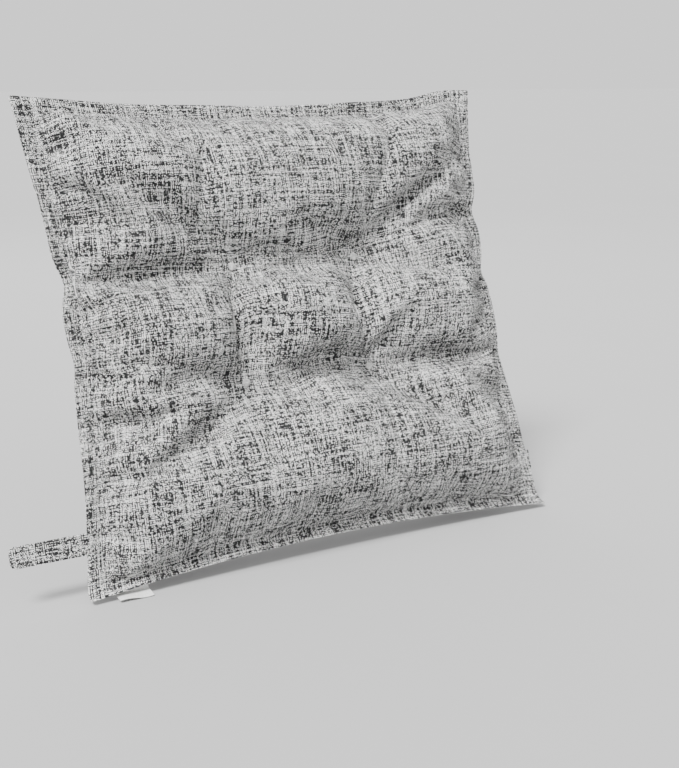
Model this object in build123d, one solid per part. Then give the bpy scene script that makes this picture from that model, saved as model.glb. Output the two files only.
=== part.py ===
from build123d import *
import math
import os

# A tufted back cushion: two woven panels sewn together round a flat topstitched flange, a fibre
# filling, four tufting threads that draw the panels together, two hook-and-loop tabs in the side
# seams and a blank care label in the bottom seam. Millimetres.
#
# It is drawn upright: X across, Y to the rear, Z up along the cushion, with the seam plane at Y = 0
# and the bottom corners at Z = 0. At the end every piece is leaned back and moved, so that the
# middle of the rear face, which rests on the chair back, is the origin.

# Driving dimensions
WIDTH = 500.0
HEIGHT = 454.0
LEAN = 20.0  # degrees back from upright
CORNER_RADIUS = 12.0
SIDE_PULL = 18.0  # how far the sides draw in between the corners
TOP_SAG = 12.0
BOTTOM_ARCH = 14.0

FLANGE = 14.0  # edge to stitch line
PLY = 1.6  # cloth with its turned-in seam allowance, on each side of the seam plane
CLOTH = 1.2
FILL_GAP = 0.2  # between the filling and the inside of the cloth
FILL_INSET = 1.0  # filling's outline inside the stitch line

FRONT_CROWN = 50.0
FRONT_SHOULDER = 30.0  # the smaller, the steeper the pillow leaves the stitch line
REAR_CROWN = 46.0
REAR_SHOULDER = 40.0
REAR_FLAT = 36.0  # the chair back flattens the rear pillows to this depth
SHEET_MARGIN = 12.0
SHEET_STEPS = 36

TUFT_X = 68.0
TUFT_ROWS = (173.0, 287.0)
TUFT_DRAW = 0.86  # share of the crown taken away at a tuft
TUFT_SPREAD = 34.0
CREASE_DRAW = 0.16
CREASE_SPREAD = 22.0
THREAD_RADIUS = 1.5
THREAD_HOLE = 1.7
FILL_HOLE = 2.5
TACK_RADIUS = 4.5
TACK_THICK = 2.2
TACK_LIFT = 0.9  # clears the dimple's rising sides

STITCH_STEP = 0.5  # the cloth's small upright step at the stitch line
STITCH_OFFSET = 12.6
STITCH_WIDTH = 0.8
STITCH_HEIGHT = 0.6

STRAP_WIDTH = 19.0
STRAP_THICK = 2.0
STRAP_HEIGHT = 51.0  # strap's middle above the bottom corners
STRAP_REACH = 68.0  # from the cushion's edge to the tab's end
STRAP_ROOT = 12.0  # sewn in between the plies
STRAP_CORNER = 4.0
PIVOT_OUT = 1.0  # root fold line, outside the edge and behind the seam plane
PIVOT_BACK = 2.0
STRAP_START = 4.5  # the cloth between the root and here is the fold itself
FOLD_AT = 34.0  # wrap fold, from the edge
FOLD_GAP = 0.3
PATCH_THICK = 1.2
PATCH_WIDTH = 14.0
PATCH_LENGTH = 23.0
PATCH_FROM_FOLD = 5.5
FOLDED_BACK = 78.0  # how far the right tab is turned back, beside the chair back it would wrap

LABEL_MIDDLE = -210.0
LABEL_WIDTH = 31.0
LABEL_LENGTH = 15.0
LABEL_THICK = 0.7
LABEL_ROOT = 9.0
LABEL_START = 3.0
LABEL_FORWARD = 66.0  # turned forward from hanging straight down


def bow(t):
    """A circular-looking bow over 0 to 1: 0 at both ends and 1 in the middle."""
    return 4.0 * t * (1.0 - t)


def side_x(z, inset=0.0):
    """Half the width at a height, of the outline drawn in by inset."""
    return WIDTH / 2 - inset - SIDE_PULL * bow((z - inset) / (HEIGHT - 2 * inset))


def bottom_z(x, inset=0.0):
    return inset + BOTTOM_ARCH * bow(x / (WIDTH - 2 * inset) + 0.5)


def top_z(x, inset=0.0):
    return HEIGHT - inset - TOP_SAG * bow(x / (WIDTH - 2 * inset) + 0.5)


def outline(inset=0.0):
    """The cushion's outline, drawn in by inset, as a face in the seam plane."""
    left, right = inset - WIDTH / 2, WIDTH / 2 - inset
    low, high = inset, HEIGHT - inset
    middle = HEIGHT / 2
    sides = [
        ThreePointArc((left, low), (0, low + BOTTOM_ARCH), (right, low)),
        ThreePointArc((right, low), (right - SIDE_PULL, middle), (right, high)),
        ThreePointArc((right, high), (0, high - TOP_SAG), (left, high)),
        ThreePointArc((left, high), (left + SIDE_PULL, middle), (left, low)),
    ]
    face = make_face(Curve() + sides)
    return Plane.XZ * fillet(face.vertices(), CORNER_RADIUS)


def rise(x, z, crown, shoulder):
    """How far the cloth stands out from the seam plane."""
    reaches = (
        side_x(z, FLANGE) - x,
        side_x(z, FLANGE) + x,
        z - bottom_z(x, FLANGE),
        top_z(x, FLANGE) - z,
    )
    body = 1.0
    for reach in reaches:
        body *= 1.0 - math.exp(-max(reach, -FLANGE) / shoulder)
    for row in TUFT_ROWS:
        body *= 1.0 - CREASE_DRAW * math.exp(-(((z - row) / CREASE_SPREAD) ** 2))
    for column in (-TUFT_X, TUFT_X):
        body *= 1.0 - CREASE_DRAW * math.exp(-(((x - column) / CREASE_SPREAD) ** 2))
    for column in (-TUFT_X, TUFT_X):
        for row in TUFT_ROWS:
            away = math.hypot(x - column, z - row) / TUFT_SPREAD
            body *= 1.0 - TUFT_DRAW * math.exp(-(away**2))
    return PLY + STITCH_STEP + crown * body


def crown_sheet(crown, shoulder, toward, drop=0.0):
    """One smooth sheet of the crown, wider than the outline; toward is -1 for front, 1 for rear."""
    low_x = -WIDTH / 2 - SHEET_MARGIN
    low_z = -SHEET_MARGIN
    step_x = (WIDTH + 2 * SHEET_MARGIN) / SHEET_STEPS
    step_z = (HEIGHT + 2 * SHEET_MARGIN) / SHEET_STEPS
    rows = []
    for i in range(SHEET_STEPS + 1):
        row = []
        for j in range(SHEET_STEPS + 1):
            x = low_x + step_x * i
            z = low_z + step_z * j
            row.append((x, toward * (rise(x, z, crown, shoulder) - drop), z))
        rows.append(row)
    return Face.make_surface_from_array_of_points(rows, tol=0.05, min_deg=3, max_deg=3)


def pillow(inset, sheet, toward):
    """The space between the seam plane and a crown sheet, inside the stitch line."""
    depth = -toward * (FRONT_CROWN + 25.0)
    block = extrude(outline(FLANGE + inset), amount=depth)
    pieces = block.split(sheet, keep=Keep.ALL)
    return min(pieces, key=lambda piece: abs(piece.center().Y))


def tuft_places():
    for row_name, row in zip(("lower", "upper"), TUFT_ROWS):
        for side_name, side in (("left", -1), ("right", 1)):
            yield row_name + "_" + side_name, side * TUFT_X, row


def rod(x, z, radius, low_y, high_y):
    """A round bar along Y."""
    bar = Cylinder(radius, high_y - low_y, rotation=(90, 0, 0))
    return Pos(x, (low_y + high_y) / 2, z) * bar


def drilled(shape, radius):
    """shape with the four tufting holes through it."""
    for _, x, z in tuft_places():
        shape = shape - rod(x, z, radius, -80, 80)
    return shape


def flattened(shape, depth):
    """shape without what lies further than depth behind the seam plane."""
    beyond = Box(WIDTH, 2 * REAR_CROWN, HEIGHT)
    return shape - Pos(0, depth + REAR_CROWN, HEIGHT / 2) * beyond


def make_panel(crown, shoulder, toward):
    """Woven panel: a shell over the filling, with its half of the flat flange."""
    outer = pillow(0.0, crown_sheet(crown, shoulder, toward), toward)
    inner = pillow(FILL_INSET, crown_sheet(crown, shoulder, toward, CLOTH), toward)
    if toward > 0:
        outer = flattened(outer, REAR_FLAT)
        inner = flattened(inner, REAR_FLAT - CLOTH)
    flange = extrude(outline(), amount=-toward * PLY)
    panel = flange + outer - inner
    for cutter in (root_pocket(-1), root_pocket(1), label_pocket()):
        panel = panel - cutter
    return drilled(panel, THREAD_HOLE)


def make_filling():
    """The polyester fibre, as one body just inside both panels."""
    drop = CLOTH + FILL_GAP
    front = pillow(FILL_INSET, crown_sheet(FRONT_CROWN, FRONT_SHOULDER, -1, drop), -1)
    rear = pillow(FILL_INSET, crown_sheet(REAR_CROWN, REAR_SHOULDER, 1, drop), 1)
    return drilled(front + flattened(rear, REAR_FLAT - drop), FILL_HOLE)


def make_topstitch(toward):
    """The lockstitch seam that closes the flange, lying on one face of it."""
    ring = outline(STITCH_OFFSET) - outline(STITCH_OFFSET + STITCH_WIDTH)
    return Pos(0, toward * PLY, 0) * extrude(ring, amount=-toward * STITCH_HEIGHT)


def tuft_depth(crown, shoulder):
    """The cloth's distance from the seam plane under a tack."""
    return rise(TUFT_X, TUFT_ROWS[0], crown, shoulder) + TACK_LIFT


def make_tack(x, z, toward):
    """The small round knot of thread that holds a tuft, domed on its outer side."""
    depth = tuft_depth(FRONT_CROWN, FRONT_SHOULDER) if toward < 0 else tuft_depth(REAR_CROWN, REAR_SHOULDER)
    low = min(toward * depth, toward * (depth + TACK_THICK))
    tack = rod(x, z, TACK_RADIUS, low, low + TACK_THICK)
    rim = tack.edges().group_by(Axis.Y)[0 if toward < 0 else -1]
    return fillet(rim, TACK_THICK * 0.6)


def make_tuft_thread(x, z):
    front = tuft_depth(FRONT_CROWN, FRONT_SHOULDER)
    rear = tuft_depth(REAR_CROWN, REAR_SHOULDER)
    return rod(x, z, THREAD_RADIUS, -front, rear)


def strap_bar(start, end, width, front_y, rear_y):
    """A flat bar on the left strap's line; start and end are distances outside the edge."""
    edge = side_x(STRAP_HEIGHT)
    bar = Box(end - start, rear_y - front_y, width)
    middle = (start + end) / 2
    return Pos(-(edge + middle), (front_y + rear_y) / 2, STRAP_HEIGHT) * bar


def root_pocket(side):
    """The room between the plies that a strap's sewn-in root fills."""
    half = STRAP_THICK / 2
    pocket = strap_bar(-STRAP_ROOT, PIVOT_OUT, STRAP_WIDTH, -half, half)
    return pocket if side < 0 else mirror(pocket, about=Plane.YZ)


def strap_pieces():
    """The left strap's pieces, straight and in the seam plane."""
    half = STRAP_THICK / 2
    rear = half + PATCH_THICK
    end = strap_bar(FOLD_AT + FOLD_GAP, STRAP_REACH, STRAP_WIDTH, -half, half)
    corners = end.edges().filter_by(Axis.Y).group_by(Axis.X)[0]
    loop_end = FOLD_AT - PATCH_FROM_FOLD
    hook_start = FOLD_AT + FOLD_GAP + PATCH_FROM_FOLD
    return {
        "root": strap_bar(-STRAP_ROOT, PIVOT_OUT, STRAP_WIDTH, -half, half),
        "inner": strap_bar(STRAP_START, FOLD_AT, STRAP_WIDTH, -half, half),
        "loop_patch": strap_bar(loop_end - PATCH_LENGTH, loop_end, PATCH_WIDTH, half, rear),
        "outer": fillet(corners, STRAP_CORNER),
        "hook_patch": strap_bar(hook_start, hook_start + PATCH_LENGTH, PATCH_WIDTH, half, rear),
    }


def make_bartack(side):
    """The dense box of stitches over a strap's root, on the flange's front face."""
    frame = strap_bar(-STRAP_ROOT + 2.5, -1.5, STRAP_WIDTH - 3, -PLY - STITCH_HEIGHT, -PLY)
    window = strap_bar(-STRAP_ROOT + 3.5, -2.5, STRAP_WIDTH - 5, -PLY - 2, -PLY + 1)
    tack = frame - window - make_topstitch_space()
    return tack if side < 0 else mirror(tack, about=Plane.YZ)


def make_topstitch_space():
    """A little more than the front topstitch, so the bartack stops at its sides."""
    ring = outline(STITCH_OFFSET - 0.1) - outline(STITCH_OFFSET + STITCH_WIDTH + 0.1)
    return extrude(ring, amount=PLY + STITCH_HEIGHT + 1)


def fold_back(shape):
    """Turns a right-hand strap piece back from the seam plane, about its fold at the edge."""
    pivot = Pos(side_x(STRAP_HEIGHT) + PIVOT_OUT, PIVOT_BACK, STRAP_HEIGHT)
    return pivot * Rot(Z=FOLDED_BACK) * pivot.inverse() * shape


def label_edge():
    return bottom_z(LABEL_MIDDLE)


def label_bar(start, end):
    """A flat bar of the label; start and end are distances below the bottom edge."""
    bar = Box(LABEL_WIDTH, LABEL_THICK, end - start)
    return Pos(LABEL_MIDDLE, 0, label_edge() - (start + end) / 2) * bar


def label_pocket():
    return label_bar(-LABEL_ROOT, 4.0)


def make_label_flap():
    """The free end of the folded satin label, turned forward about the bottom edge."""
    flap = label_bar(LABEL_START, LABEL_LENGTH)
    pivot = Pos(0, 0, label_edge() - PIVOT_OUT)
    return pivot * Rot(X=-LABEL_FORWARD) * pivot.inverse() * flap


def all_pieces():
    """Every node's shape, upright."""
    pieces = {
        "front_panel": make_panel(FRONT_CROWN, FRONT_SHOULDER, -1),
        "rear_panel": make_panel(REAR_CROWN, REAR_SHOULDER, 1),
        "fibre_filling": make_filling(),
        "topstitch_front": make_topstitch(-1),
        "topstitch_rear": make_topstitch(1),
    }
    for name, x, z in tuft_places():
        pieces["tuft_thread_" + name] = make_tuft_thread(x, z)
        pieces["tuft_tack_front_" + name] = make_tack(x, z, -1)
        pieces["tuft_tack_rear_" + name] = make_tack(x, z, 1)
    for name, shape in strap_pieces().items():
        right = mirror(shape, about=Plane.YZ)
        pieces["strap_left_" + name] = shape
        pieces["strap_right_" + name] = right if name == "root" else fold_back(right)
    pieces["strap_left_bartack"] = make_bartack(-1)
    pieces["strap_right_bartack"] = make_bartack(1)
    pieces["care_label_root"] = label_bar(-LABEL_ROOT, PIVOT_OUT)
    pieces["care_label_flap"] = make_label_flap()
    return pieces


def in_place(shape):
    """Leans a piece back about the bottom edge and brings the rear rest point to the origin."""
    lean = Rot(X=-LEAN)
    rest_point = lean * Pos(0, REAR_FLAT, HEIGHT / 2)
    return Pos(-rest_point.position) * lean * shape


os.makedirs("parts", exist_ok=True)
for node, shape in all_pieces().items():
    export_step(in_place(shape), f"parts/{node}.step")
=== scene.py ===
# %% [markdown]
# # A tufted back cushion
# A square bag of slub-woven cloth is stuffed with fibre and drawn in by four threads, so that it
# swells into nine pillows. This lesson builds its soft parts round a fixed mechanical frame. The
# pieces are drawn upright, X across, Y to the rear and Z up the cushion, and leaned back at the end.

# %% Load the frame
import math

import bpy
import numpy as np
from mathutils import Matrix, Vector


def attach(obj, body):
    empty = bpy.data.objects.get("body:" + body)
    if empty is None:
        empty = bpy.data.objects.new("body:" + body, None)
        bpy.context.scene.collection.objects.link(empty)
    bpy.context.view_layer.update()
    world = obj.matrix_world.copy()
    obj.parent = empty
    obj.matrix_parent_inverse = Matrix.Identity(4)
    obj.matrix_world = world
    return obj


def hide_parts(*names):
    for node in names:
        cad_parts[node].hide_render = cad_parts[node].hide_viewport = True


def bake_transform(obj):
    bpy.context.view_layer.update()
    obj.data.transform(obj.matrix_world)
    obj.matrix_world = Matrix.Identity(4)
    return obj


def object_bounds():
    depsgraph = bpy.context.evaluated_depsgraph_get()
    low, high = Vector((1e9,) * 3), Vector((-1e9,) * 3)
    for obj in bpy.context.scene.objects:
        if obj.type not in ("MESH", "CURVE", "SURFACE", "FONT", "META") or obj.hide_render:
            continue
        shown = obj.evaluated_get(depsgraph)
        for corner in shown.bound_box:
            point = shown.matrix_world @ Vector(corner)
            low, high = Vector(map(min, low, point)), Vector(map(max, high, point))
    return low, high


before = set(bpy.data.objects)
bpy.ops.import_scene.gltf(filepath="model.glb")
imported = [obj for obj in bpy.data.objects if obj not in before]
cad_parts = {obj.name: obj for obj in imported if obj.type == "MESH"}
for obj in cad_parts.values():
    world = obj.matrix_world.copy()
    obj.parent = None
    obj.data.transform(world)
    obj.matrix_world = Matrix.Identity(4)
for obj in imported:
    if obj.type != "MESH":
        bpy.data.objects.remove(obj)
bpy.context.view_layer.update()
MM = 0.001

# %% [markdown]
# ## The camera
# A camera is given by a place and two angles, one round the cushion and one above the floor. Its own
# back direction and a level right-hand direction give all of its turn, with no tilt to guess.

# %% Camera
AZIMUTH = math.radians(-29.98)
ELEVATION = math.radians(14.28)
CAMERA_PLACE = (-0.54185, -1.05261, 0.24044)
SENSOR, LENS = 36, 56.25

level = math.cos(ELEVATION)
back = Vector((math.sin(AZIMUTH) * level, -math.cos(AZIMUTH) * level, math.sin(ELEVATION)))
right = Vector((0, 0, 1)).cross(back).normalized()
turn = Matrix((right, back.cross(right), back)).transposed().to_4x4()
bpy.ops.object.select_all(action="DESELECT")
bpy.ops.object.camera_add()
camera = bpy.context.object
camera.name = "view_camera"
camera.data.sensor_width = SENSOR
camera.data.lens = LENS
camera.matrix_world = Matrix.Translation(CAMERA_PLACE) @ turn
bpy.context.scene.camera = camera
print("camera", tuple(round(v, 3) for v in camera.location))

# %% [markdown]
# ## Helpers for every piece
# An operator acts on whatever is selected, so each piece starts by letting go of everything. The
# lean is one matrix, put into the mesh itself, so a finished object stays at the origin, unturned.

# %% Helpers
LEAN = math.radians(20)
REST_POINT = Vector((0, 36 * MM, 227 * MM))  # where the rear rests, in upright terms
SMOOTH_ANGLE = math.radians(50)
lean_back = Matrix.Rotation(-LEAN, 4, "X") @ Matrix.Translation(-REST_POINT)


def let_go():
    """Leaves edit mode and deselects everything."""
    if bpy.context.object and bpy.context.object.mode != "OBJECT":
        bpy.ops.object.mode_set(mode="OBJECT")
    bpy.ops.object.select_all(action="DESELECT")


def pick(piece):
    """Makes a piece the only selected and the active object."""
    let_go()
    piece.select_set(True)
    bpy.context.view_layer.objects.active = piece


def apply_modifier(piece, kind, **settings):
    """Adds a modifier, sets it, and applies it to the mesh."""
    pick(piece)
    modifier = piece.modifiers.new(kind.title(), kind)
    for key, value in settings.items():
        setattr(modifier, key, value)
    bpy.ops.object.modifier_apply(modifier=modifier.name)


def vertices_of(piece):
    """A piece's vertices as an array of rows."""
    found = np.empty(len(piece.data.vertices) * 3)
    piece.data.vertices.foreach_get("co", found)
    return found.reshape(-1, 3)


def move_vertices(piece, places):
    """Gives a piece new vertex places."""
    piece.data.vertices.foreach_set("co", np.asarray(places, float).reshape(-1))
    piece.data.update()


def faces_outward(piece):
    """Turns every face of a closed piece outward."""
    pick(piece)
    bpy.ops.object.mode_set(mode="EDIT")
    bpy.ops.mesh.select_all(action="SELECT")
    bpy.ops.mesh.normals_make_consistent(inside=False)
    bpy.ops.object.mode_set(mode="OBJECT")


def mesh_piece(name, places, faces, uvs=None):
    """A new piece from places and faces, with uv coordinates in metres of flat cloth."""
    mesh = bpy.data.meshes.new(name)
    mesh.from_pydata([tuple(map(float, p)) for p in places], [], faces)
    if uvs is not None:
        layer = mesh.uv_layers.new(name="cloth")
        for loop in mesh.loops:
            layer.data[loop.index].uv = uvs[loop.vertex_index]
    mesh.update()
    piece = bpy.data.objects.new(name, mesh)
    bpy.context.collection.objects.link(piece)
    return piece


def complete(piece, material, slot, body, *nodes):
    """Leans a piece back, gives it its finish and its body, and puts it in its CAD nodes' place."""
    pick(piece)
    bpy.ops.object.transform_apply(location=True, rotation=True, scale=True)
    piece.data.transform(lean_back)
    bpy.ops.object.shade_smooth_by_angle(angle=SMOOTH_ANGLE)
    piece.data.materials.clear()
    piece.data.materials.append(material)
    if body:
        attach(piece, body)
    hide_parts(*nodes)
    print(piece.name, len(piece.data.polygons), "faces")


def leaned(x, y, s):
    """An upright place, leaned back into the frame."""
    return lean_back @ Vector((x, y, s))


# %% [markdown]
# ## Writing shaders as sums
# A woven cloth is arithmetic on a repeated coordinate. Wrapping a socket in a small class with
# overloaded operators lets the weave be written as a formula, and each operator adds a Math node.

# %% Shader arithmetic
class Wire:
    """A socket that can be added, multiplied and compared like a number."""

    def __init__(self, finish, socket):
        self.finish = finish
        self.socket = socket

    def math(self, operation, *values):
        return self.finish.node("ShaderNodeMath", {"operation": operation}, list(values))

    def __add__(self, other):
        return self.math("ADD", self, other)

    def __sub__(self, other):
        return self.math("SUBTRACT", self, other)

    def __rsub__(self, other):
        return self.math("SUBTRACT", other, self)

    def __mul__(self, other):
        return self.math("MULTIPLY", self, other)

    def __truediv__(self, other):
        return self.math("DIVIDE", self, other)

    def floor(self):
        return self.math("FLOOR", self)

    def wrap(self):
        return self.math("FRACT", self)

    def size(self):
        return self.math("ABSOLUTE", self)

    def sine(self):
        return self.math("SINE", self)

    def rises(self, low, high):
        """0 below low, 1 above high, smooth between."""
        return self.finish.node("ShaderNodeMapRange", {"interpolation_type": "SMOOTHSTEP"},
                                {"Value": self, "From Min": low, "From Max": high})


class Finish:
    """A material and the one method that adds its nodes."""

    def __init__(self, name, **constants):
        self.material = bpy.data.materials.new(name)
        self.material.use_nodes = True
        self.tree = self.material.node_tree
        self.shader = self.tree.nodes["Principled BSDF"]
        for socket, value in constants.items():
            self.shader.inputs[socket.replace("_", " ")].default_value = value

    def node(self, kind, settings=None, inputs=None, output=0):
        made = self.tree.nodes.new(kind)
        for key, value in (settings or {}).items():
            setattr(made, key, value)
        pairs = enumerate(inputs) if isinstance(inputs, list) else (inputs or {}).items()
        for key, value in pairs:
            if isinstance(value, Wire):
                self.tree.links.new(value.socket, made.inputs[key])
            else:
                made.inputs[key].default_value = value
        return Wire(self, made.outputs[output])

    def parts(self, vector):
        """The X, Y and Z of a vector."""
        first = self.node("ShaderNodeSeparateXYZ", inputs=[vector])
        outputs = first.socket.node.outputs
        return [Wire(self, outputs[k]) for k in range(3)]

    def uv(self):
        return self.node("ShaderNodeUVMap", {"uv_map": "cloth"})

    def object_place(self):
        return self.node("ShaderNodeTexCoord", output=3)  # the Object socket

    def noise(self, vector, scale, detail=2.0):
        inputs = {"Vector": vector, "Scale": scale, "Detail": detail}
        return self.node("ShaderNodeTexNoise", inputs=inputs)

    def joined(self, x, y, z):
        return self.node("ShaderNodeCombineXYZ", inputs=[x, y, z])

    def mixed(self, factor, first, second):
        """Two colours mixed by a factor. The numbers are the sockets of the node's colour form."""
        inputs = {0: factor, 6: first, 7: second}
        return self.node("ShaderNodeMix", {"data_type": "RGBA"}, inputs, output=2)

    def colour(self, wire):
        self.tree.links.new(wire.socket, self.shader.inputs["Base Color"])

    def relief(self, height, depth, strength=1.0):
        inputs = {"Height": height, "Distance": depth, "Strength": strength}
        bump = self.node("ShaderNodeBump", inputs=inputs)
        self.tree.links.new(bump.socket, self.shader.inputs["Normal"])


# %% [markdown]
# ## The slub weave
# Slub yarn is spun thick and thin from black and white fibre, so the cloth is covered in short dark
# dashes that run with the warp and with the weft. Every yarn gets its own stretched noise, counted
# off by the yarn's number, and the plain weave decides which of the two yarns is on top.

# %% Slub weave
YARN = 0.98 * MM
WANDER = 1.6 * MM  # how far a yarn strays from straight
SLUB_RATE, STREAK_RATE = 25.0, 290.0  # changes of tone in a metre of yarn
SLUB_SHARE, STREAK_SHARE, CLUSTER_SHARE = 1.2, 1.05, 0.03
WEAVE_DEPTH = 0.45 * MM
PALE_YARN = (0.90, 0.90, 0.885, 1)
GREY_YARN = (0.30, 0.30, 0.295, 1)
BLACK_YARN = (0.006, 0.006, 0.007, 1)
# painted shade: the dark colour put into the low gaps between the yarns
PAINTED_GAP_SHADE = (0.10, 0.10, 0.10, 1)


def slub_weave(name, turned=0.0):
    """Black and white slub cloth, on uv coordinates in metres."""
    cloth = Finish(name, Roughness=0.94, Sheen_Weight=0.03, Sheen_Roughness=0.6,
                   Specular_IOR_Level=0.08)
    flat = cloth.uv()
    u, v, _ = cloth.parts(flat)
    u = u + (cloth.noise(flat, 34.0) - 0.5) * WANDER + turned
    v = v + (cloth.noise(flat, 27.0) - 0.5) * WANDER
    across, along = u / YARN, v / YARN
    warp, weft = across.floor(), along.floor()
    clusters = cloth.noise(flat, 21.0, 3.0) - 0.5

    def yarn(number, length, seed):
        """How dark a yarn is: long slubs of its own, broken up by short streaks."""
        slub = cloth.noise(cloth.joined(number * 5.31, length * SLUB_RATE, seed), 1.0, 1.0)
        streak = cloth.noise(cloth.joined(number * 3.7, length * STREAK_RATE, seed + 9.0), 1.0, 1.0)
        tone = (slub - 0.5) * SLUB_SHARE + 0.5 + (streak - 0.5) * STREAK_SHARE
        return tone + clusters * CLUSTER_SHARE

    warp_dark = yarn(warp, v, 2.0)
    weft_dark = yarn(weft, u, 31.0)
    on_top = ((warp + weft) * 0.5).wrap().rises(0.2, 0.3)
    dark = warp_dark + (weft_dark - warp_dark) * on_top
    tone = cloth.mixed(dark.rises(0.40, 0.46), PALE_YARN, GREY_YARN)
    shade = cloth.mixed(dark.rises(0.48, 0.50), tone, BLACK_YARN)
    warp_bulge = 1 - (across.wrap() - 0.5).size() * 2
    weft_bulge = 1 - (along.wrap() - 0.5).size() * 2
    height = warp_bulge + (weft_bulge - warp_bulge) * on_top
    # where the weave is low, between the yarns, the colour goes to painted shade
    cloth.colour(cloth.mixed(height.rises(0.0, 0.36), PAINTED_GAP_SHADE, shade))
    cloth.relief(height + (cloth.noise(flat, 900.0) - 0.5) * 0.8, WEAVE_DEPTH, 0.85)
    return cloth.material


weave = slub_weave("slub_weave_cloth")
tab_weave = slub_weave("tab_weave_cloth", turned=0.37)
print("weave nodes:", len(weave.node_tree.nodes))

# %% [markdown]
# ## Thread, filling, tapes and satin
# Sewing thread is twisted, so a slanted ripple lights it. Fibre filling is a soft cloud of hair. Hook
# tape stands in rows of stiff hooks and loop tape is a matted nap, each with painted shade low down.
# Satin has long parallel floats, and the brighter ones are painted sheen.

# %% Smaller finishes
TWIST_RATE = 1900.0  # radians of twist in a metre of thread


def spun_thread():
    thread = Finish("spun_thread", Roughness=0.62, Sheen_Weight=0.1)
    x, y, z = thread.parts(thread.object_place())
    twist = ((x + y + z) * TWIST_RATE).sine()
    uneven = thread.noise(thread.object_place(), 420.0)
    fibres = uneven.rises(0.3, 0.7)
    thread.colour(thread.mixed(fibres, (0.30, 0.30, 0.30, 1), (0.62, 0.62, 0.60, 1)))
    thread.relief(twist, 0.12 * MM)
    return thread.material


def polyester_fibre():
    fibre = Finish("polyester_fibre", Roughness=0.85, Sheen_Weight=0.3)
    place = fibre.object_place()
    hairs = fibre.noise(place, 260.0, 5.0)
    fibre.colour(fibre.mixed(hairs, (0.66, 0.66, 0.64, 1), (0.88, 0.88, 0.87, 1)))
    fibre.relief(hairs, 1.2 * MM)
    return fibre.material


def hook_tape():
    tape = Finish("hook_tape_nylon", Roughness=0.45)
    x, y, z = tape.parts(tape.object_place())
    columns = ((x + y) / (1.1 * MM)).wrap() - 0.5
    rows = (z / (1.3 * MM)).wrap() - 0.5
    hooks = 1 - (columns * columns + rows * rows) * 5.0
    # painted shade: the colour is darker low down between the hooks than at their tips
    painted_shade_stem, tip = (0.012, 0.012, 0.013, 1), (0.075, 0.075, 0.08, 1)
    tape.colour(tape.mixed(hooks.rises(0.1, 0.8), painted_shade_stem, tip))
    tape.relief(hooks.rises(0.0, 1.0), 0.5 * MM)
    return tape.material


def loop_tape():
    tape = Finish("loop_tape_nylon", Roughness=0.95, Sheen_Weight=0.5)
    nap = tape.noise(tape.object_place(), 1300.0, 4.0)
    # painted shade: the nap's low places are darker than its raised ones
    painted_shade_deep, raised = (0.02, 0.02, 0.02, 1), (0.10, 0.10, 0.105, 1)
    tape.colour(tape.mixed(nap.rises(0.35, 0.65), painted_shade_deep, raised))
    tape.relief(nap, 0.5 * MM)
    return tape.material


def label_satin():
    satin = Finish("label_satin_ribbon", Roughness=0.34, Sheen_Weight=0.15, Anisotropic=0.4)
    flat = satin.uv()
    u, v, _ = satin.parts(flat)
    floats = satin.noise(satin.joined(u * 2600.0, v * 160.0, 0.0), 1.0, 2.0)
    # painted sheen: the brighter floats are the satin's shine put into its colour
    dull, painted_sheen = (0.66, 0.66, 0.64, 1), (0.86, 0.86, 0.85, 1)
    satin.colour(satin.mixed(floats.rises(0.35, 0.7), dull, painted_sheen))
    satin.relief(floats, 0.08 * MM)
    return satin.material


thread_finish = spun_thread()
fibre_finish = polyester_fibre()
hook_finish = hook_tape()
loop_finish = loop_tape()
satin_finish = label_satin()
print("finishes:", len(bpy.data.materials))

# %% [markdown]
# ## The outline of the sewn bag
# The sides of a stuffed bag draw in between its corners, and each crease that reaches a side pinches
# it a little more. The edge is written as four smooth lines, and the cloth's grid hangs between them.

# %% Outline
WIDTH, HEIGHT = 500 * MM, 454 * MM
FLANGE = 14 * MM
SIDE_PULL, BOTTOM_ARCH, TOP_SAG = 18 * MM, 14 * MM, 12 * MM
TAB_HEIGHT = 51 * MM  # the tabs' middle, above the bottom corners
TUFT_X, TUFT_ROWS = 68 * MM, (173 * MM, 287 * MM)


def bow(t):
    return 4 * t * (1 - t)


def pinch(at, middle, spread):
    return math.exp(-(((at - middle * MM) / (spread * MM)) ** 2))


def left_edge(s):
    drawn = 7 * MM * pinch(s, 281, 16) + 3 * MM * pinch(s, 208, 14)
    return -(WIDTH / 2 - SIDE_PULL * bow(s / HEIGHT)) + drawn


def right_edge(s):
    drawn = 8 * MM * pinch(s, 322, 15) + 5 * MM * pinch(s, 258, 12) + 3 * MM * pinch(s, 167, 14)
    return WIDTH / 2 - SIDE_PULL * bow(s / HEIGHT) - drawn


def bottom_edge(x):
    return BOTTOM_ARCH * bow(x / WIDTH + 0.5)


def top_edge(x):
    return HEIGHT - TOP_SAG * bow(x / WIDTH + 0.5) + 5 * MM * pinch(x, 217, 30)


def on_sheet(a, b):
    """The place of sheet position a, b, each from -1 to 1, in the drawn-in outline."""
    x, s = 0.0, (b + 1) / 2 * HEIGHT
    for _ in range(6):
        x = left_edge(s) + (a + 1) / 2 * (right_edge(s) - left_edge(s))
        s = bottom_edge(x) + (b + 1) / 2 * (top_edge(x) - bottom_edge(x))
    return x, s


print("edge at mid height:", round(left_edge(0.227), 4), round(right_edge(0.227), 4))

# %% [markdown]
# ## The flat cloth and where it is drawn to
# The cloth is cut larger than the finished cushion, and more so in height, because the fullness is
# what makes pillows and creases. One grid is laid out twice: flat, as cut, and drawn in, as sewn.

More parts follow.
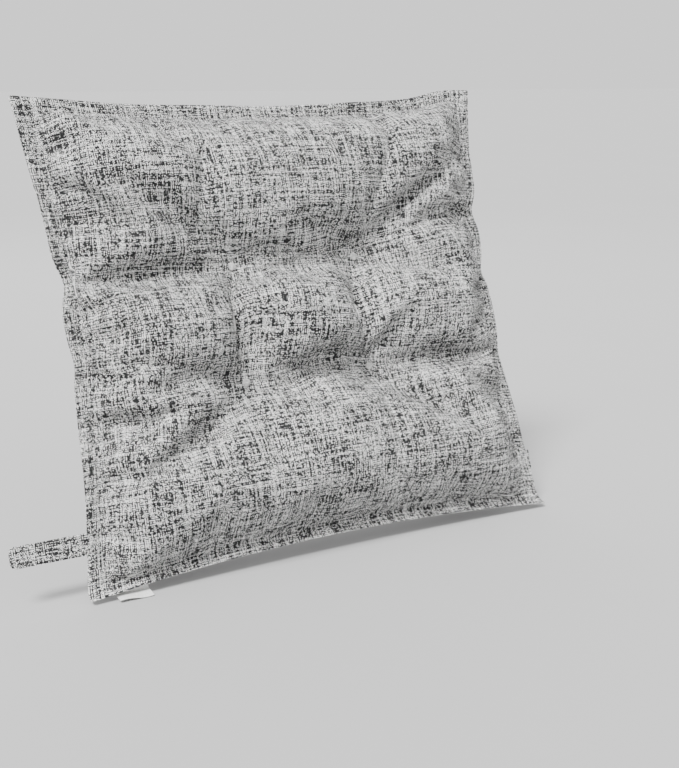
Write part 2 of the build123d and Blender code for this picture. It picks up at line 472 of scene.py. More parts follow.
# %% Two layouts of one grid
FLANGE_CELLS = 3
HALF_CELLS = 40
CUT_WIDTH, CUT_HEIGHT = 515 * MM, 530 * MM
TUFT_COLUMN, TUFT_ROW = 12, 11
EVEN_X, EVEN_Z = 0.036, 0.005  # moves the tufts' grid lines to the tufts' places

cells = 2 * (HALF_CELLS + FLANGE_CELLS)
count = cells + 1
inner = np.linspace(-1, 1, 2 * HALF_CELLS + 1)


def with_flange(middle, edge, stitch):
    """A row of positions: the flange's cells, the middle, and the flange's cells."""
    low = np.linspace(-edge, -stitch, FLANGE_CELLS + 1)[:-1]
    return np.concatenate([low, middle, -low[::-1]])


def evened(share):
    return inner + share * np.sin(np.pi * inner) / np.pi


stitch_a, stitch_b = 1 - FLANGE / (WIDTH / 2), 1 - FLANGE / (HEIGHT / 2)
sheet_a = with_flange(evened(EVEN_X) * stitch_a, 1, stitch_a)
sheet_b = with_flange(evened(EVEN_Z) * stitch_b, 1, stitch_b)
cut_u = with_flange(inner * (CUT_WIDTH / 2 - FLANGE), CUT_WIDTH / 2, CUT_WIDTH / 2 - FLANGE)
cut_v = with_flange(inner * (CUT_HEIGHT / 2 - FLANGE), CUT_HEIGHT / 2, CUT_HEIGHT / 2 - FLANGE)
sewn = np.array([[on_sheet(a, b) for a in sheet_a] for b in sheet_b])
cut = np.array([[(u, v) for u in cut_u] for v in cut_v])

number = np.arange(count * count).reshape(count, count)
loose = np.zeros((count, count), bool)
loose[FLANGE_CELLS + 1 : -FLANGE_CELLS - 1, FLANGE_CELLS + 1 : -FLANGE_CELLS - 1] = True
middle_cell = cells // 2
tufts = {}
for row_name, up in (("lower", -1), ("upper", 1)):
    for side_name, over in (("left", -1), ("right", 1)):
        cell = (middle_cell + up * TUFT_ROW, middle_cell + over * TUFT_COLUMN)
        tufts[f"{row_name}_{side_name}"] = cell
print("tufts at", {k: np.round(sewn[v] / MM).tolist() for k, v in tufts.items()})

# %% [markdown]
# ## Sewing and stuffing by simulation
# Two grids share the stitch line, like a pillowcase. The stitch line and the tufts are pinned, and a
# shape key draws the pins from the flat cut to their sewn places while pressure fills the bag. The
# cloth that is left over has to buckle, so the folds come out where a real cushion has them.

# %% Simulate the bag
PRESSURE = 7.0
DRAW_FRAMES, LAST_FRAME = 14, 26
TUFT_HALF_DEPTH = 5 * MM


def bag_mesh():
    """Flat and sewn places of both layers, the faces, and the rear layer's numbering."""
    rear_number = number.copy()
    flat, drawn = [], []
    for layer in (1, -1):
        for i in range(count):
            for j in range(count):
                if layer < 0 and not loose[i, j]:
                    continue
                if layer < 0:
                    rear_number[i, j] = len(flat)
                a = (j - FLANGE_CELLS) / HALF_CELLS - 1
                b = (i - FLANGE_CELLS) / HALF_CELLS - 1
                swell = math.sqrt(max(0, 1 - a * a) * max(0, 1 - b * b)) if loose[i, j] else 0
                out = -layer * (6 * MM * swell + (0.5 * MM if loose[i, j] else 0))
                flat.append((cut[i, j, 0], out, cut[i, j, 1] + HEIGHT / 2))
                drawn.append((sewn[i, j, 0], -layer * 30 * MM * swell, sewn[i, j, 1]))
    faces = []
    for i in range(cells):
        for j in range(cells):
            n = number
            faces.append((n[i, j], n[i, j + 1], n[i + 1, j + 1], n[i + 1, j]))
    for i in range(FLANGE_CELLS, cells - FLANGE_CELLS):
        for j in range(FLANGE_CELLS, cells - FLANGE_CELLS):
            n = rear_number
            faces.append((n[i, j], n[i + 1, j], n[i + 1, j + 1], n[i, j + 1]))
    return flat, drawn, [tuple(int(k) for k in f) for f in faces], rear_number


flat_places, drawn_places, bag_faces, rear_number = bag_mesh()
pins = set(int(k) for k in number[~loose])
for i, j in tufts.values():
    for di, dj in ((0, 0), (1, 0), (-1, 0), (0, 1), (0, -1)):
        for numbers, layer in ((number, -1), (rear_number, 1)):
            k = int(numbers[i + di, j + dj])
            pins.add(k)
            depth = TUFT_HALF_DEPTH + (0 if di == dj == 0 else 1.2 * MM)
            drawn_places[k] = (drawn_places[k][0], layer * depth, drawn_places[k][2])


def stuffed_bag():
    """The bag's places after it is drawn in and filled."""
    bag = mesh_piece("bag", flat_places, bag_faces)
    pick(bag)
    bag.shape_key_add(name="cut")
    key = bag.shape_key_add(name="sewn")
    key.data.foreach_set("co", np.array(drawn_places, float).reshape(-1))
    for value, at in ((0, 1), (1, DRAW_FRAMES)):
        key.value = value
        key.keyframe_insert("value", frame=at)
    pinned = bag.vertex_groups.new(name="pinned")
    pinned.add(sorted(pins), 1.0, "REPLACE")
    filled = bag.vertex_groups.new(name="filled")
    for numbers in (number, rear_number):
        filled.add([int(k) for k in numbers[loose]], 1.0, "REPLACE")
    cloth = bag.modifiers.new("Cloth", "CLOTH")
    setting = cloth.settings
    setting.quality, setting.mass, setting.air_damping = 6, 0.3, 1.0
    setting.tension_stiffness, setting.compression_stiffness = 15.0, 5.0
    setting.shear_stiffness, setting.bending_stiffness = 5.0, 5.0
    setting.tension_damping = setting.compression_damping = setting.shear_damping = 5.0
    setting.use_pressure = True
    setting.uniform_pressure_force = PRESSURE
    setting.vertex_group_pressure = filled.name
    setting.vertex_group_mass = pinned.name
    setting.effector_weights.gravity = 0
    cloth.collision_settings.use_collision = False
    cloth.point_cache.frame_start, cloth.point_cache.frame_end = 1, LAST_FRAME
    scene = bpy.context.scene
    for at in range(1, LAST_FRAME + 1):
        scene.frame_set(at)
    shown = bag.evaluated_get(bpy.context.evaluated_depsgraph_get())
    places = np.empty(len(shown.data.vertices) * 3)
    shown.data.vertices.foreach_get("co", places)
    scene.frame_set(1)
    bpy.data.objects.remove(bag)
    return places.reshape(-1, 3)


soft_places = stuffed_bag()
print("bag depth, mm:", np.round(soft_places[:, 1].min() / MM), np.round(soft_places[:, 1].max() / MM))

# %% [markdown]
# ## Creases, and the flat of the back
# Creases that have been sat on run from tuft to tuft and from tuft to edge, deeper than new cloth
# folds. Each is a short path that scales the pillows down close to it. Behind, the pillows lie
# against a chair's back, so they are pressed towards one depth there.

# %% Press in the creases
CREASES = [  # path in mm across and up, share taken away, reach in mm
    ([(-68, 287), (-74, 230), (-68, 173)], 0.58, 13),
    ([(-68, 287), (-74, 230), (-68, 173)], 0.60, 4),
    ([(68, 287), (61, 230), (68, 173)], 0.60, 12),
    ([(68, 287), (61, 230), (68, 173)], 0.72, 4),
    ([(-68, 287), (0, 292), (68, 287)], 0.52, 13),
    ([(-68, 173), (-20, 168), (68, 173)], 0.48, 13),
    ([(-68, 287), (-150, 280), (-236, 281)], 0.46, 12),
    ([(-68, 287), (-97, 326), (-88, 385)], 0.36, 16),
    ([(68, 287), (150, 312), (226, 320)], 0.44, 12),
    ([(68, 287), (95, 340), (118, 392)], 0.30, 14),
    ([(-68, 173), (-130, 190), (-212, 206)], 0.36, 12),
    ([(68, 173), (140, 178), (226, 168)], 0.44, 12),
    ([(130, 259), (222, 255)], 0.18, 9),
    ([(-68, 173), (-66, 105)], 0.20, 12),
    ([(68, 173), (65, 100)], 0.22, 12),
]
DEEPEST = 0.14  # share of a pillow's height left where creases meet
TUFT_SEAT = 3 * MM  # half depth of the small flat place that a knot is drawn against
TUFT_SEAT_REACH = 6.5 * MM
REAR_REST = 35 * MM  # how deep the rear may be before its rest flattens it
REAR_SOFTNESS = 5 * MM
REAR_CREASING = 0.5  # share of a front crease that shows at the rear
PLUMP = 0.26  # how much the centre pillow stands out
PLUMP_MIDDLE, PLUMP_HALF_WIDTH, PLUMP_HALF_HEIGHT = 230 * MM, 50 * MM, 42 * MM
DENT, DENT_X, DENT_REACH = 0.5, 226 * MM, 24 * MM  # room for a tab that is turned back


def distance_to(path, x, s):
    """The distance of places x, s from a path of straight runs."""
    best = np.full(x.shape, 1.0)
    for (x0, s0), (x1, s1) in zip(path, path[1:]):
        dx, ds = (x1 - x0) * MM, (s1 - s0) * MM
        t = np.clip(((x - x0 * MM) * dx + (s - s0 * MM) * ds) / (dx * dx + ds * ds), 0, 1)
        best = np.minimum(best, np.hypot(x - x0 * MM - t * dx, s - s0 * MM - t * ds))
    return best


def crease_scale(x, s):
    """The share of its depth that the bag keeps at places x, s."""
    scale = np.ones(x.shape)
    for path, share, width in CREASES:
        scale *= 1 - share * np.exp(-distance_to(path, x, s) / (width * MM))
    return np.maximum(scale, DEEPEST)


def pressed(places):
    """Places with their creases pressed in and the rear laid against its rest."""
    x, y, s = np.asarray(places, float).T
    off_middle = (x / PLUMP_HALF_WIDTH) ** 2 + ((s - PLUMP_MIDDLE) / PLUMP_HALF_HEIGHT) ** 2
    plump = 1 + PLUMP * np.exp(-(off_middle ** 2))
    creased = crease_scale(x, s)
    by_tab = ((np.abs(x) - DENT_X) / DENT_REACH) ** 2 + ((s - TAB_HEIGHT) / DENT_REACH) ** 2
    dent = 1 - DENT * np.exp(-by_tab)
    scaled = y * np.where(y < 0, creased * plump, (1 - (1 - creased) * REAR_CREASING) * dent)
    past = np.maximum(scaled - REAR_REST, 0)
    rested = REAR_REST + REAR_SOFTNESS * (1 - np.exp(-past / REAR_SOFTNESS)) * 0.5
    drawn = np.where(scaled > REAR_REST, rested, scaled)
    for tuft_x in (-TUFT_X, TUFT_X):
        for tuft_s in TUFT_ROWS:
            near = np.exp(-((np.hypot(x - tuft_x, s - tuft_s) / TUFT_SEAT_REACH) ** 4))
            drawn = drawn + (np.sign(y) * TUFT_SEAT - drawn) * near
    return np.stack([x, drawn, s], -1)


bag_places = pressed(soft_places)
print("creases:", len(CREASES))
print("depth, mm:", np.round(bag_places[:, 1].min() / MM), np.round(bag_places[:, 1].max() / MM))

# %% [markdown]
# ## The flange
# Round the bag runs a flat border of two plies, topstitched together. It is never quite flat, and
# along the bottom it curls forward. The covers, the stitching and the bartacks share this sway.

# %% Sway of the flange
SIDE_WAVE, TOP_WAVE = 1.6 * MM, 1.5 * MM
SIDE_RATE, TOP_RATE = 52, 41  # radians a metre
BOTTOM_CURL, BOTTOM_RISE = 8 * MM, 1.5 * MM
STILL_BY_TAB = 26 * MM  # a sewn-in tab keeps the flange flat this far round it


def sway(places):
    """Places moved to and fro with the flange's waves, most at the outer edge."""
    moved = np.array(places, float)
    for k, (x, _, s) in enumerate(moved):
        out = {
            "side": max(left_edge(s) + FLANGE - x, x - right_edge(s) + FLANGE),
            "bottom": bottom_edge(x) + FLANGE - s,
            "top": s - top_edge(x) + FLANGE,
        }
        reach = {name: min(max(v / FLANGE, 0), 1.2) for name, v in out.items()}
        free = 1 - math.exp(-(((s - TAB_HEIGHT) / STILL_BY_TAB) ** 2))
        moved[k, 1] += reach["side"] * free * SIDE_WAVE * math.sin(s * SIDE_RATE)
        moved[k, 1] += reach["top"] * TOP_WAVE * math.sin(x * TOP_RATE + 1)
        moved[k, 1] -= reach["bottom"] ** 2 * BOTTOM_CURL
        moved[k, 2] += reach["bottom"] ** 2 * BOTTOM_RISE
    return moved


print("bottom edge curls to", np.round(sway([(0, 0, bottom_edge(0))])[0] / MM, 1))

# %% [markdown]
# ## Front and rear panels
# Each panel is a single sheet cut from the simulated bag: its pillows and its own ply of the flange.
# A dip along the stitch line, one level of subdivision and a Solidify that grows inwards turn the
# sheet into cloth with a real edge.

# %% Panels
PLY = 1.6 * MM
CLOTH = 1.2 * MM
STITCH_DIP = 0.7 * MM
EDGE_HALF = 0.5 * MM  # half the depth of the flange's outer edge
SEAM_GAP = 0.1 * MM  # between a panel's inner face and the seam plane
REAR_SHIFT = 0.8  # metres of cloth between the two panels' cuts
FILL = 0.7


def panel(name, numbers, side):
    """One side's cloth: side is -1 at the front and 1 at the rear."""
    places = soft_places[numbers.reshape(-1)].reshape(count, count, 3).copy()
    lift = np.full((count, count), PLY)
    ring = np.zeros((count, count), bool)
    ring[FLANGE_CELLS:-FLANGE_CELLS, FLANGE_CELLS:-FLANGE_CELLS] = True
    ring &= ~loose
    lift[ring] -= STITCH_DIP
    edge = np.ones((count, count), bool)
    edge[1:-1, 1:-1] = False
    lift[edge] = EDGE_HALF
    faces = []
    for i in range(cells):
        for j in range(cells):
            corners = ((i, j), (i, j + 1), (i + 1, j + 1), (i + 1, j))
            face = [int(number[at]) for at in corners]
            faces.append(face if side < 0 else face[::-1])
    shift = 0.0 if side < 0 else REAR_SHIFT
    uvs = [(u + shift, v) for u, v in cut.reshape(-1, 2)]
    piece = mesh_piece(name, places.reshape(-1, 3), faces, uvs)
    lifts = piece.data.attributes.new("lift", "FLOAT", "POINT")
    lifts.data.foreach_set("value", lift.reshape(-1).astype(np.float32))
    apply_modifier(piece, "SUBSURF", levels=1, render_levels=1)
    fine = vertices_of(piece)
    fine_lift = np.empty(len(fine), np.float32)
    piece.data.attributes["lift"].data.foreach_get("value", fine_lift)
    piece.data.attributes.remove(piece.data.attributes["lift"])
    fine = pressed(fine)
    fine[:, 1] += side * fine_lift
    move_vertices(piece, fine)
    apply_modifier(piece, "SOLIDIFY", thickness=CLOTH, offset=-1)
    solid = vertices_of(piece)
    depth = np.maximum(solid[:, 1] * side, SEAM_GAP)
    solid[:, 1] = depth * side
    move_vertices(piece, sway(solid))
    return piece


front_cover = panel("cushion_front_cover", number, -1)
complete(front_cover, weave, "slub_weave", "cushion", "front_panel")
rear_cover = panel("cushion_rear_cover", rear_number, 1)
complete(rear_cover, weave, "slub_weave", "cushion", "rear_panel")

# %% [markdown]
# ## The filling
# Loose polyester fibre takes the shape of its bag, so the filling is the bag's own two layers inside
# the stitch line, drawn in a little, and mostly in depth, to stay behind the cloth.

# %% Filling
FILL_SCALE = np.array((0.995, 0.86, 1))


def filling():
    """One closed body from the faces of the bag that lie inside the stitch line."""
    free = loose.reshape(-1)
    inside = [f for f in bag_faces if all(k >= free.size or free[k] for k in f)]
    used = sorted({k for f in inside for k in f})
    renumber = {k: n for n, k in enumerate(used)}
    places = bag_places[used] * FILL_SCALE
    faces = [tuple(renumber[k] for k in f) for f in inside]
    piece = mesh_piece("fibre_filling_body", places, faces)
    pick(piece)
    bpy.ops.object.mode_set(mode="EDIT")
    bpy.ops.mesh.select_all(action="DESELECT")
    bpy.ops.mesh.select_non_manifold()
    bpy.ops.mesh.bridge_edge_loops()
    faces_outward(piece)
    return piece


fill_piece = filling()
complete(fill_piece, fibre_finish, "fibre", "cushion", "fibre_filling")

# %% [markdown]
# ## One stitch, many times
# A lockstitch shows as a row of short plump threads. One is shaped from a ball of a few dozen faces,
# and copies are laid end to end along a path, each turned to the path and to the cloth's own face.

# %% Stitches
STITCH_SHAPE = (0.5, 0.36, 0.30)  # half length, half width and half height
STITCH_SUNK = 0.35 * MM  # below the flange's face
STITCH_OUT = 0.006  # share of its distance from the middle that the line is moved out
let_go()
bpy.ops.mesh.primitive_uv_sphere_add(segments=6, ring_count=6, radius=1)
stitch_shape = bpy.context.object
bpy.ops.object.mode_set(mode="EDIT")
bpy.ops.mesh.select_all(action="SELECT")
bpy.ops.transform.rotate(value=math.pi / 2, orient_axis="Y", center_override=(0, 0, 0))
bpy.ops.transform.resize(value=STITCH_SHAPE, center_override=(0, 0, 0))
bpy.ops.object.mode_set(mode="OBJECT")
stitch_places = vertices_of(stitch_shape)
stitch_faces = [tuple(p.vertices) for p in stitch_shape.data.polygons]
bpy.data.objects.remove(stitch_shape)


def along(path, pitch):
    """Evenly spaced starts and directions along a path of points."""
    path = np.asarray(path, float)
    steps = np.linalg.norm(np.diff(path, axis=0), axis=1)
    total = np.concatenate([[0], np.cumsum(steps)])
    number_of = max(int(total[-1] / pitch), 1)
    at = (np.arange(number_of) + 0.5) * total[-1] / number_of
    pick_at = lambda d: np.stack([np.interp(d, total, path[:, k]) for k in range(3)], -1)
    ahead = pick_at(np.minimum(at + pitch / 2, total[-1])) - pick_at(np.maximum(at - pitch / 2, 0))
    return pick_at(at), ahead / np.linalg.norm(ahead, axis=1)[:, None]


def stitched(name, paths, length=2.9 * MM, gap=0.7 * MM, width=0.9 * MM, outward=(0, -1, 0)):
    """Rows of stitches along paths, as one piece. outward is the cloth's face direction."""
    places, faces = [], []
    outward = np.asarray(outward, float)
    for path in paths:
        for middle, ahead in zip(*along(path, length + gap)):
            over = np.cross(outward, ahead)
            turn = np.stack([ahead * length, over * width, outward * width])
            start = len(places)
            places.extend(middle + stitch_places @ turn)
            faces.extend(tuple(k + start for k in f) for f in stitch_faces)
    piece = mesh_piece(name, places, faces)
    faces_outward(piece)
    return piece


def stitch_line(side):
    """The closed line just outside the pillows, on one face of the flange."""
    first, last = FLANGE_CELLS, cells - FLANGE_CELLS
    ring = [(first, j) for j in range(first, last)] + [(i, last) for i in range(first, last)]
    ring += [(last, j) for j in range(last, first, -1)]
    ring += [(i, first) for i in range(last, first, -1)]
    y = side * (PLY - STITCH_SUNK)
    line = np.array([(sewn[i, j, 0], y, sewn[i, j, 1]) for i, j in ring + ring[:1]])
    middle = np.array((0, 0, HEIGHT / 2))
    line += (line - middle) * np.array((STITCH_OUT, 0, STITCH_OUT))
    return sway(line)


for side, word in ((-1, "front"), (1, "rear")):
    row = stitched(f"flange_stitches_{word}", [stitch_line(side)], outward=(0, side, 0))
    complete(row, thread_finish, "thread", "cushion", f"topstitch_{word}")

# %% [markdown]
# ## Tufting
# Each tuft is a thread pulled through the whole cushion and knotted off, with no button, so what shows
# is a small round pad of wound thread. A torus is the winding, and five stitches are drawn across it.

# %% Tacks and threads
KNOT_RADIUS, KNOT_THREAD = 3.0 * MM, 0.9 * MM
SPOKES, SPOKE_REACH, SPOKE_UP = 5, 3.7 * MM, 0.7 * MM
KNOT_PROUD = 0.4 * MM


def tack(name, centre, side):
    """A knot of thread on one face, drawn round the origin and moved to its centre."""
    let_go()
    bpy.ops.mesh.primitive_torus_add(major_segments=24, minor_segments=8,
                                     major_radius=KNOT_RADIUS, minor_radius=KNOT_THREAD)
    ring = bpy.context.object
    bpy.ops.object.mode_set(mode="EDIT")
    bpy.ops.mesh.select_all(action="SELECT")
    bpy.ops.transform.rotate(value=math.pi / 2, orient_axis="X", center_override=(0, 0, 0))
    bpy.ops.object.mode_set(mode="OBJECT")
    ring.name = name
    spokes = []
    up = (0, side * SPOKE_UP, 0)
    for k in range(SPOKES):
        angle = k * math.pi / SPOKES + 0.3
        arm = np.array((math.cos(angle), 0, math.sin(angle))) * SPOKE_REACH
        spokes.append([-arm + up, arm + up])
    cross = stitched(name + "_spokes", spokes, length=7.2 * MM, gap=0, width=1.9 * MM,
                     outward=(0, side, 0))
    pick(ring)
    cross.select_set(True)
    bpy.ops.object.join()
    ring.data.transform(Matrix.Translation(centre))
    return ring


def twisted_thread(name, start, end):
    """Two plies twisted round each other, from one face to the other."""
    turns, steps, sides, ply, orbit = 5, 60, 6, 0.55 * MM, 0.5 * MM
    start, end = np.array(start), np.array(end)
    places, faces = [], []
    for phase in (0, math.pi):
        base = len(places)
        for k in range(steps + 1):
            t = k / steps
            spin = phase + turns * 2 * math.pi * t
            off_axis = np.array((math.cos(spin), 0, math.sin(spin))) * orbit
            centre = start + (end - start) * t + off_axis
            for m in range(sides):
                a = 2 * math.pi * m / sides
                places.append(centre + np.array((math.cos(a), 0, math.sin(a))) * ply)
        for k in range(steps):
            for m in range(sides):
                n, low, high = (m + 1) % sides, base + k * sides, base + (k + 1) * sides
                faces.append((low + m, low + n, high + n, high + m))
        faces.append(tuple(base + m for m in range(sides))[::-1])
        faces.append(tuple(base + steps * sides + m for m in range(sides)))
    piece = mesh_piece(name, places, faces)
    faces_outward(piece)
    return piece


for where, (i, j) in tufts.items():
    ends = {}
    for side, word, numbers in ((-1, "front", number), (1, "rear", rear_number)):
        x, _, s = bag_places[numbers[i, j]]
        centre = Vector((x, side * (TUFT_SEAT + PLY + KNOT_PROUD), s))
        knot = tack(f"tuft_knot_{word}_{where}", centre, side)
        complete(knot, thread_finish, "thread", "cushion", f"tuft_tack_{word}_{where}")
        ends[side] = centre
    tie = twisted_thread(f"tuft_tie_{where}", ends[-1], ends[1])
    complete(tie, thread_finish, "thread", "cushion", f"tuft_thread_{where}")

# %% [markdown]
# ## The two tabs
# A tab is one folded strip of the same cloth, sewn into the side seam, that wraps a bar of the
# chair's back and closes on itself. Its root is held by the cushion, its middle folds, and its end
# folds again. It is made in two lengths that meet in the stiff middle; the right tab is turned back
# round its root, and the left tab stands straight out.

# %% Shape a tab
TAB_WIDTH, TAB_THICK = 19 * MM, 2 * MM
TAB_ROOT, TAB_REACH, TAB_SPLIT, TAB_FOLD = -12 * MM, 68 * MM, 19 * MM, 34.15 * MM
FOLD_END = 4.5 * MM
HALF_BEND = 2.5 * MM  # each side of the middle fold
SOFT_EDGE, END_RADIUS = 2 * MM, 4 * MM
WAVE, WAVE_RATE, WAVE_START = 0.5 * MM, 110, 20 * MM
TAB_STITCH_INSET = 2.2 * MM
PIVOT_OUT, PIVOT_BACK = 1 * MM, 2 * MM
TURNED_BACK = math.radians(78)
tab_edge = WIDTH / 2 - SIDE_PULL * bow(TAB_HEIGHT / HEIGHT)


def tab_turn(places, side):
    """Places drawn with X as the distance out from the edge, moved to the left or right tab."""
    moved = []
    for out, y, s in places:
        if side < 0:
            moved.append((-(tab_edge + out), y, s))
            continue
        t = min(max(out / FOLD_END, 0), 1)
        angle = TURNED_BACK * t * t * (3 - 2 * t)
        dx, dy = out - PIVOT_OUT, y - PIVOT_BACK
        x = PIVOT_OUT + dx * math.cos(angle) - dy * math.sin(angle)
        y = PIVOT_BACK + dx * math.sin(angle) + dy * math.cos(angle)
        moved.append((tab_edge + x, y, s))
    return np.array(moved)


def tab_length(name, start, end, side, rounded):
    """A flat length of the tab between two distances from the edge, with soft long edges."""
    let_go()
    bpy.ops.mesh.primitive_cube_add(size=1, location=((start + end) / 2, 0, TAB_HEIGHT),
                                    scale=(end - start, TAB_THICK, TAB_WIDTH))
    piece = bpy.context.object
    piece.name = name
    bpy.ops.object.transform_apply(location=True, rotation=True, scale=True)
    bpy.ops.object.mode_set(mode="EDIT")
    bpy.ops.mesh.select_all(action="SELECT")
    bpy.ops.mesh.subdivide(number_cuts=24)
    bpy.ops.object.mode_set(mode="OBJECT")
    places = vertices_of(piece)
    half, radius = TAB_WIDTH / 2, END_RADIUS
    for k, (x, y, s) in enumerate(places):
        h = s - TAB_HEIGHT
        near_edge = max(0.0, (abs(h) - (half - SOFT_EDGE)) / SOFT_EDGE)
        puff = 1 - 0.45 * near_edge * near_edge
        past = max(x - FOLD_END, 0)
        wave = WAVE * math.sin(past * WAVE_RATE) * min(past / WAVE_START, 1)
        y = y * puff
        if rounded:
            beyond = x - (end - radius)
            if beyond > 0:
                limit = half - radius + math.sqrt(max(radius * radius - beyond * beyond, 0))
                h *= limit / half
                y = y * (1 - 0.4 * (beyond / radius) ** 2)
        places[k] = (x, y + wave, TAB_HEIGHT + h)
    mesh = piece.data
    for old in list(mesh.uv_layers):
        mesh.uv_layers.remove(old)
    layer = mesh.uv_layers.new(name="cloth")
    for loop in mesh.loops:
        x, y, s = places[loop.vertex_index]
        layer.data[loop.index].uv = (x + 1.7 + side * 0.2, s + y * 0.8)
    move_vertices(piece, tab_turn(places, side))
    pick(piece)
    bpy.ops.object.mode_set(mode="EDIT")
    bpy.ops.mesh.select_all(action="SELECT")
    bpy.ops.mesh.remove_doubles(threshold=0.02 * MM)
    faces_outward(piece)
    return piece


def tab_stitches(name, start, end, side, closed_end):
    """Edge stitching on the front face of one length of a tab."""
    lift = -TAB_THICK / 2 - 0.05 * MM
    reach = TAB_WIDTH / 2 - TAB_STITCH_INSET
    top, low = TAB_HEIGHT + reach, TAB_HEIGHT - reach
    paths = [[(start, lift, top), (end, lift, top)], [(start, lift, low), (end, lift, low)]]
    if closed_end:
        paths.append([(end, lift, top), (end, lift, low)])
    row = stitched(name, paths, length=2.5 * MM, width=0.7 * MM)
    move_vertices(row, tab_turn(vertices_of(row), side))
    faces_outward(row)  # the left tab is a mirror image, which turns its faces inside out
    return row


def tab_place(out, side):
    return leaned(*tab_turn([(out, 0, TAB_HEIGHT)], side)[0])


for side, word in ((-1, "left"), (1, "right")):
    near = tab_length(f"tab_{word}_near", TAB_ROOT, TAB_SPLIT, side, False)
    complete(near, tab_weave, "strap_weave", None, f"strap_{word}_root")
    near_row = tab_stitches(f"tab_{word}_near_stitches", 2 * MM, TAB_SPLIT, side, False)
    complete(near_row, thread_finish, "thread", None)
    for piece in (near, near_row):
        tab_place(0, side)
        tab_place(FOLD_END, side)
        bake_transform(piece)
    far = tab_length(f"tab_{word}_far", TAB_SPLIT, TAB_REACH, side, True)
    complete(far, tab_weave, "strap_weave", None, f"strap_{word}_inner", f"strap_{word}_outer")
    far_row = tab_stitches(f"tab_{word}_far_stitches",
                           TAB_SPLIT, TAB_REACH - TAB_STITCH_INSET, side, True)
    complete(far_row, thread_finish, "thread", None)
    for piece in (far, far_row):
        tab_place(TAB_FOLD - HALF_BEND, side)
        tab_place(TAB_FOLD + HALF_BEND, side)
        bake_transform(piece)

# %% [markdown]
# ## Closures and bartacks
# The patches are plain woven tapes whose true shape is already in the frame, so they only get their
# finish. A bartack is a small box of close stitches that carries the tab's pull into the flange.

# %% Tapes and bartacks
for word in ("left", "right"):
    for kind, finish in (("hook", hook_finish), ("loop", loop_finish)):
        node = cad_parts[f"strap_{word}_{kind}_patch"]
        node.data.materials.clear()
        node.data.materials.append(finish)


def bartack(name, side):
    """A stitched box with a cross in it, over a tab's root."""
    inner_x, outer_x = side * (tab_edge - 9.5 * MM), side * (tab_edge - 1.8 * MM)
    low, top = TAB_HEIGHT - 8 * MM, TAB_HEIGHT + 8 * MM
    y = -PLY - 0.1 * MM
    a, b, c, d = (inner_x, y, low), (outer_x, y, low), (outer_x, y, top), (inner_x, y, top)
    paths = [sway(p) for p in ([a, b], [b, c], [c, d], [d, a], [a, c], [b, d])]
    return stitched(name, paths, length=1.7 * MM, gap=0.1 * MM, width=1.0 * MM)


for side, word in ((-1, "left"), (1, "right")):
    box = bartack(f"bartack_{word}", side)
    complete(box, thread_finish, "thread", "cushion", f"strap_{word}_bartack")

# %% [markdown]
# ## The care label
# A blank satin ribbon is folded in half and its two ends are caught in the bottom seam. Its section
# is a long thin loop, swept across the ribbon's width, so the fold at its free end is really round.

# %% Care label
LABEL_X, LABEL_WIDTH = -210 * MM, 31 * MM
LABEL_IN, LABEL_OUT = -9 * MM, 15 * MM
LABEL_THICK, RIBBON = 0.7 * MM, 0.22 * MM
LABEL_FORWARD = math.radians(66)
LABEL_CURL, LABEL_CURL_RATE = 1.2 * MM, 160
label_edge = bottom_edge(LABEL_X)


def label_point(down, y, x):
    """A place on the label: down from the seam's edge, turned forward past it."""
    t = min(max((down + 0.5 * MM) / (4 * MM), 0), 1)
    angle = LABEL_FORWARD * t * t * (3 - 2 * t)
    d = down - PIVOT_OUT
    y += LABEL_CURL * math.sin((x - LABEL_X) * LABEL_CURL_RATE) * max(d, 0) / LABEL_OUT
    return (x, -d * math.sin(angle) + y * math.cos(angle),
            label_edge - PIVOT_OUT - d * math.cos(angle) - y * math.sin(angle))


def care_label():
    """The folded ribbon: its section goes down the front, round the fold and up the back."""
    half, columns, rows, bend = LABEL_THICK / 2, 24, 26, 7
    straight = LABEL_OUT - half - LABEL_IN
    section = [(LABEL_IN + straight * k / rows, -half) for k in range(rows + 1)]
    for k in range(1, bend):
        angle = -math.pi / 2 + math.pi * k / bend
        section.append((LABEL_OUT - half + half * math.cos(angle), half * math.sin(angle)))
    section += [(d, half) for d, _ in section[rows::-1]]
    places, uvs, faces = [], [], []
    for c in range(columns + 1):
        x = LABEL_X - LABEL_WIDTH / 2 + LABEL_WIDTH * c / columns
        for k, (down, y) in enumerate(section):
            places.append(label_point(down, y, x))
            uvs.append((x, down + (0.1 if k > len(section) // 2 else 0)))
    ring = len(section)
    for c in range(columns):
        for k in range(ring - 1):
            here, beside = c * ring + k, (c + 1) * ring + k
            faces.append((here, here + 1, beside + 1, beside))
    piece = mesh_piece("care_label_ribbon", places, faces, uvs)
    apply_modifier(piece, "SOLIDIFY", thickness=RIBBON, offset=0)
    return piece


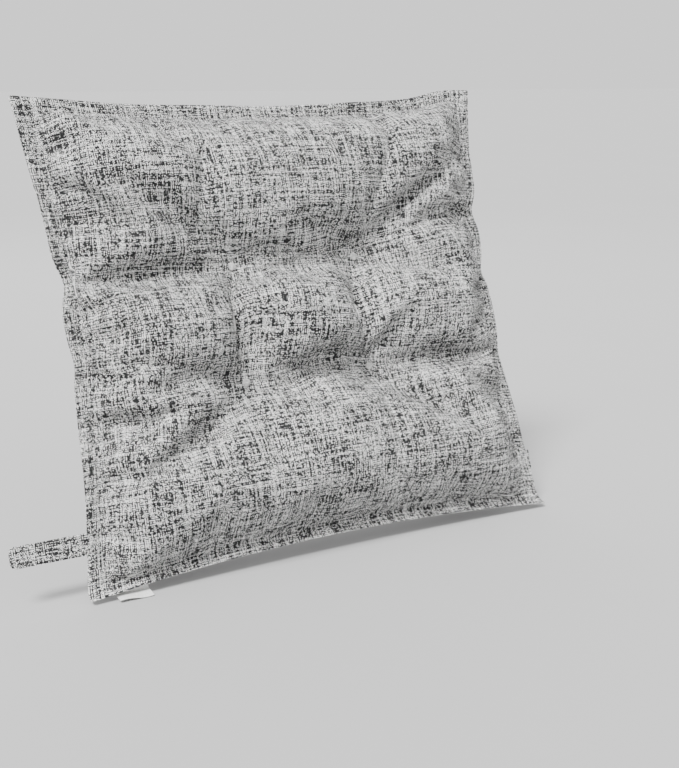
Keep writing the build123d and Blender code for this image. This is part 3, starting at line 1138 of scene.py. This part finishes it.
label = care_label()
complete(label, satin_finish, "label_satin", None, "care_label_root", "care_label_flap")
leaned(*label_point(0, 0, LABEL_X))
leaned(*label_point(3 * MM, 0, LABEL_X))
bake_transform(label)

# %% [markdown]
# ## Floor and light
# A pale floor at the cushion's lowest point catches its shadow. One soft-edged sun from the upper left
# lights floor and pillows evenly, and two weak broad lights keep the creases and the back open.

# %% Floor and lights
FLOOR_DARK, FLOOR_PALE = (0.380, 0.380, 0.380, 1), (0.395, 0.395, 0.395, 1)
FLOOR_GAP = 0.5 * MM
SUN_PLACE, SUN_POWER, SUN_SOFTNESS = (-1.0, -0.6, 1.7), 7.0, math.radians(20)
WORLD_STRENGTH = 1.15
low_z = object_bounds()[0][2]
let_go()
bpy.ops.mesh.primitive_plane_add(size=80, location=(0, 0, low_z - FLOOR_GAP))
floor = bpy.context.object
floor.name = "studio_floor"
ground = Finish("pale_floor", Roughness=0.8)
grain = ground.noise(ground.object_place(), 3.0)
ground.colour(ground.mixed(grain, FLOOR_DARK, FLOOR_PALE))
floor.data.materials.append(ground.material)


def towards_origin(place):
    return (-Vector(place)).to_track_quat("-Z", "Y").to_euler()


def soft_light(name, place, size, power):
    """A broad light that faces the origin."""
    let_go()
    bpy.ops.object.light_add(type="AREA", location=place)
    light = bpy.context.object
    light.name = name
    light.data.size, light.data.energy = size, power
    light.rotation_euler = towards_origin(place)


soft_light("fill_light", (1.2, -1.6, 0.9), 1.2, 5)
soft_light("rear_light", (0.6, 1.8, 1.4), 1.5, 14)
let_go()
bpy.ops.object.light_add(type="SUN", location=SUN_PLACE)
window = bpy.context.object
window.name = "window_light"
window.data.energy, window.data.angle = SUN_POWER, SUN_SOFTNESS
window.rotation_euler = towards_origin(SUN_PLACE)
world = bpy.data.worlds.new("pale_world")
bpy.context.scene.world = world
world.use_nodes = True
sky = world.node_tree.nodes["Background"]
sky.inputs["Color"].default_value = (1, 1, 1, 1)
sky.inputs["Strength"].default_value = WORLD_STRENGTH
print("floor at", round(low_z, 4))
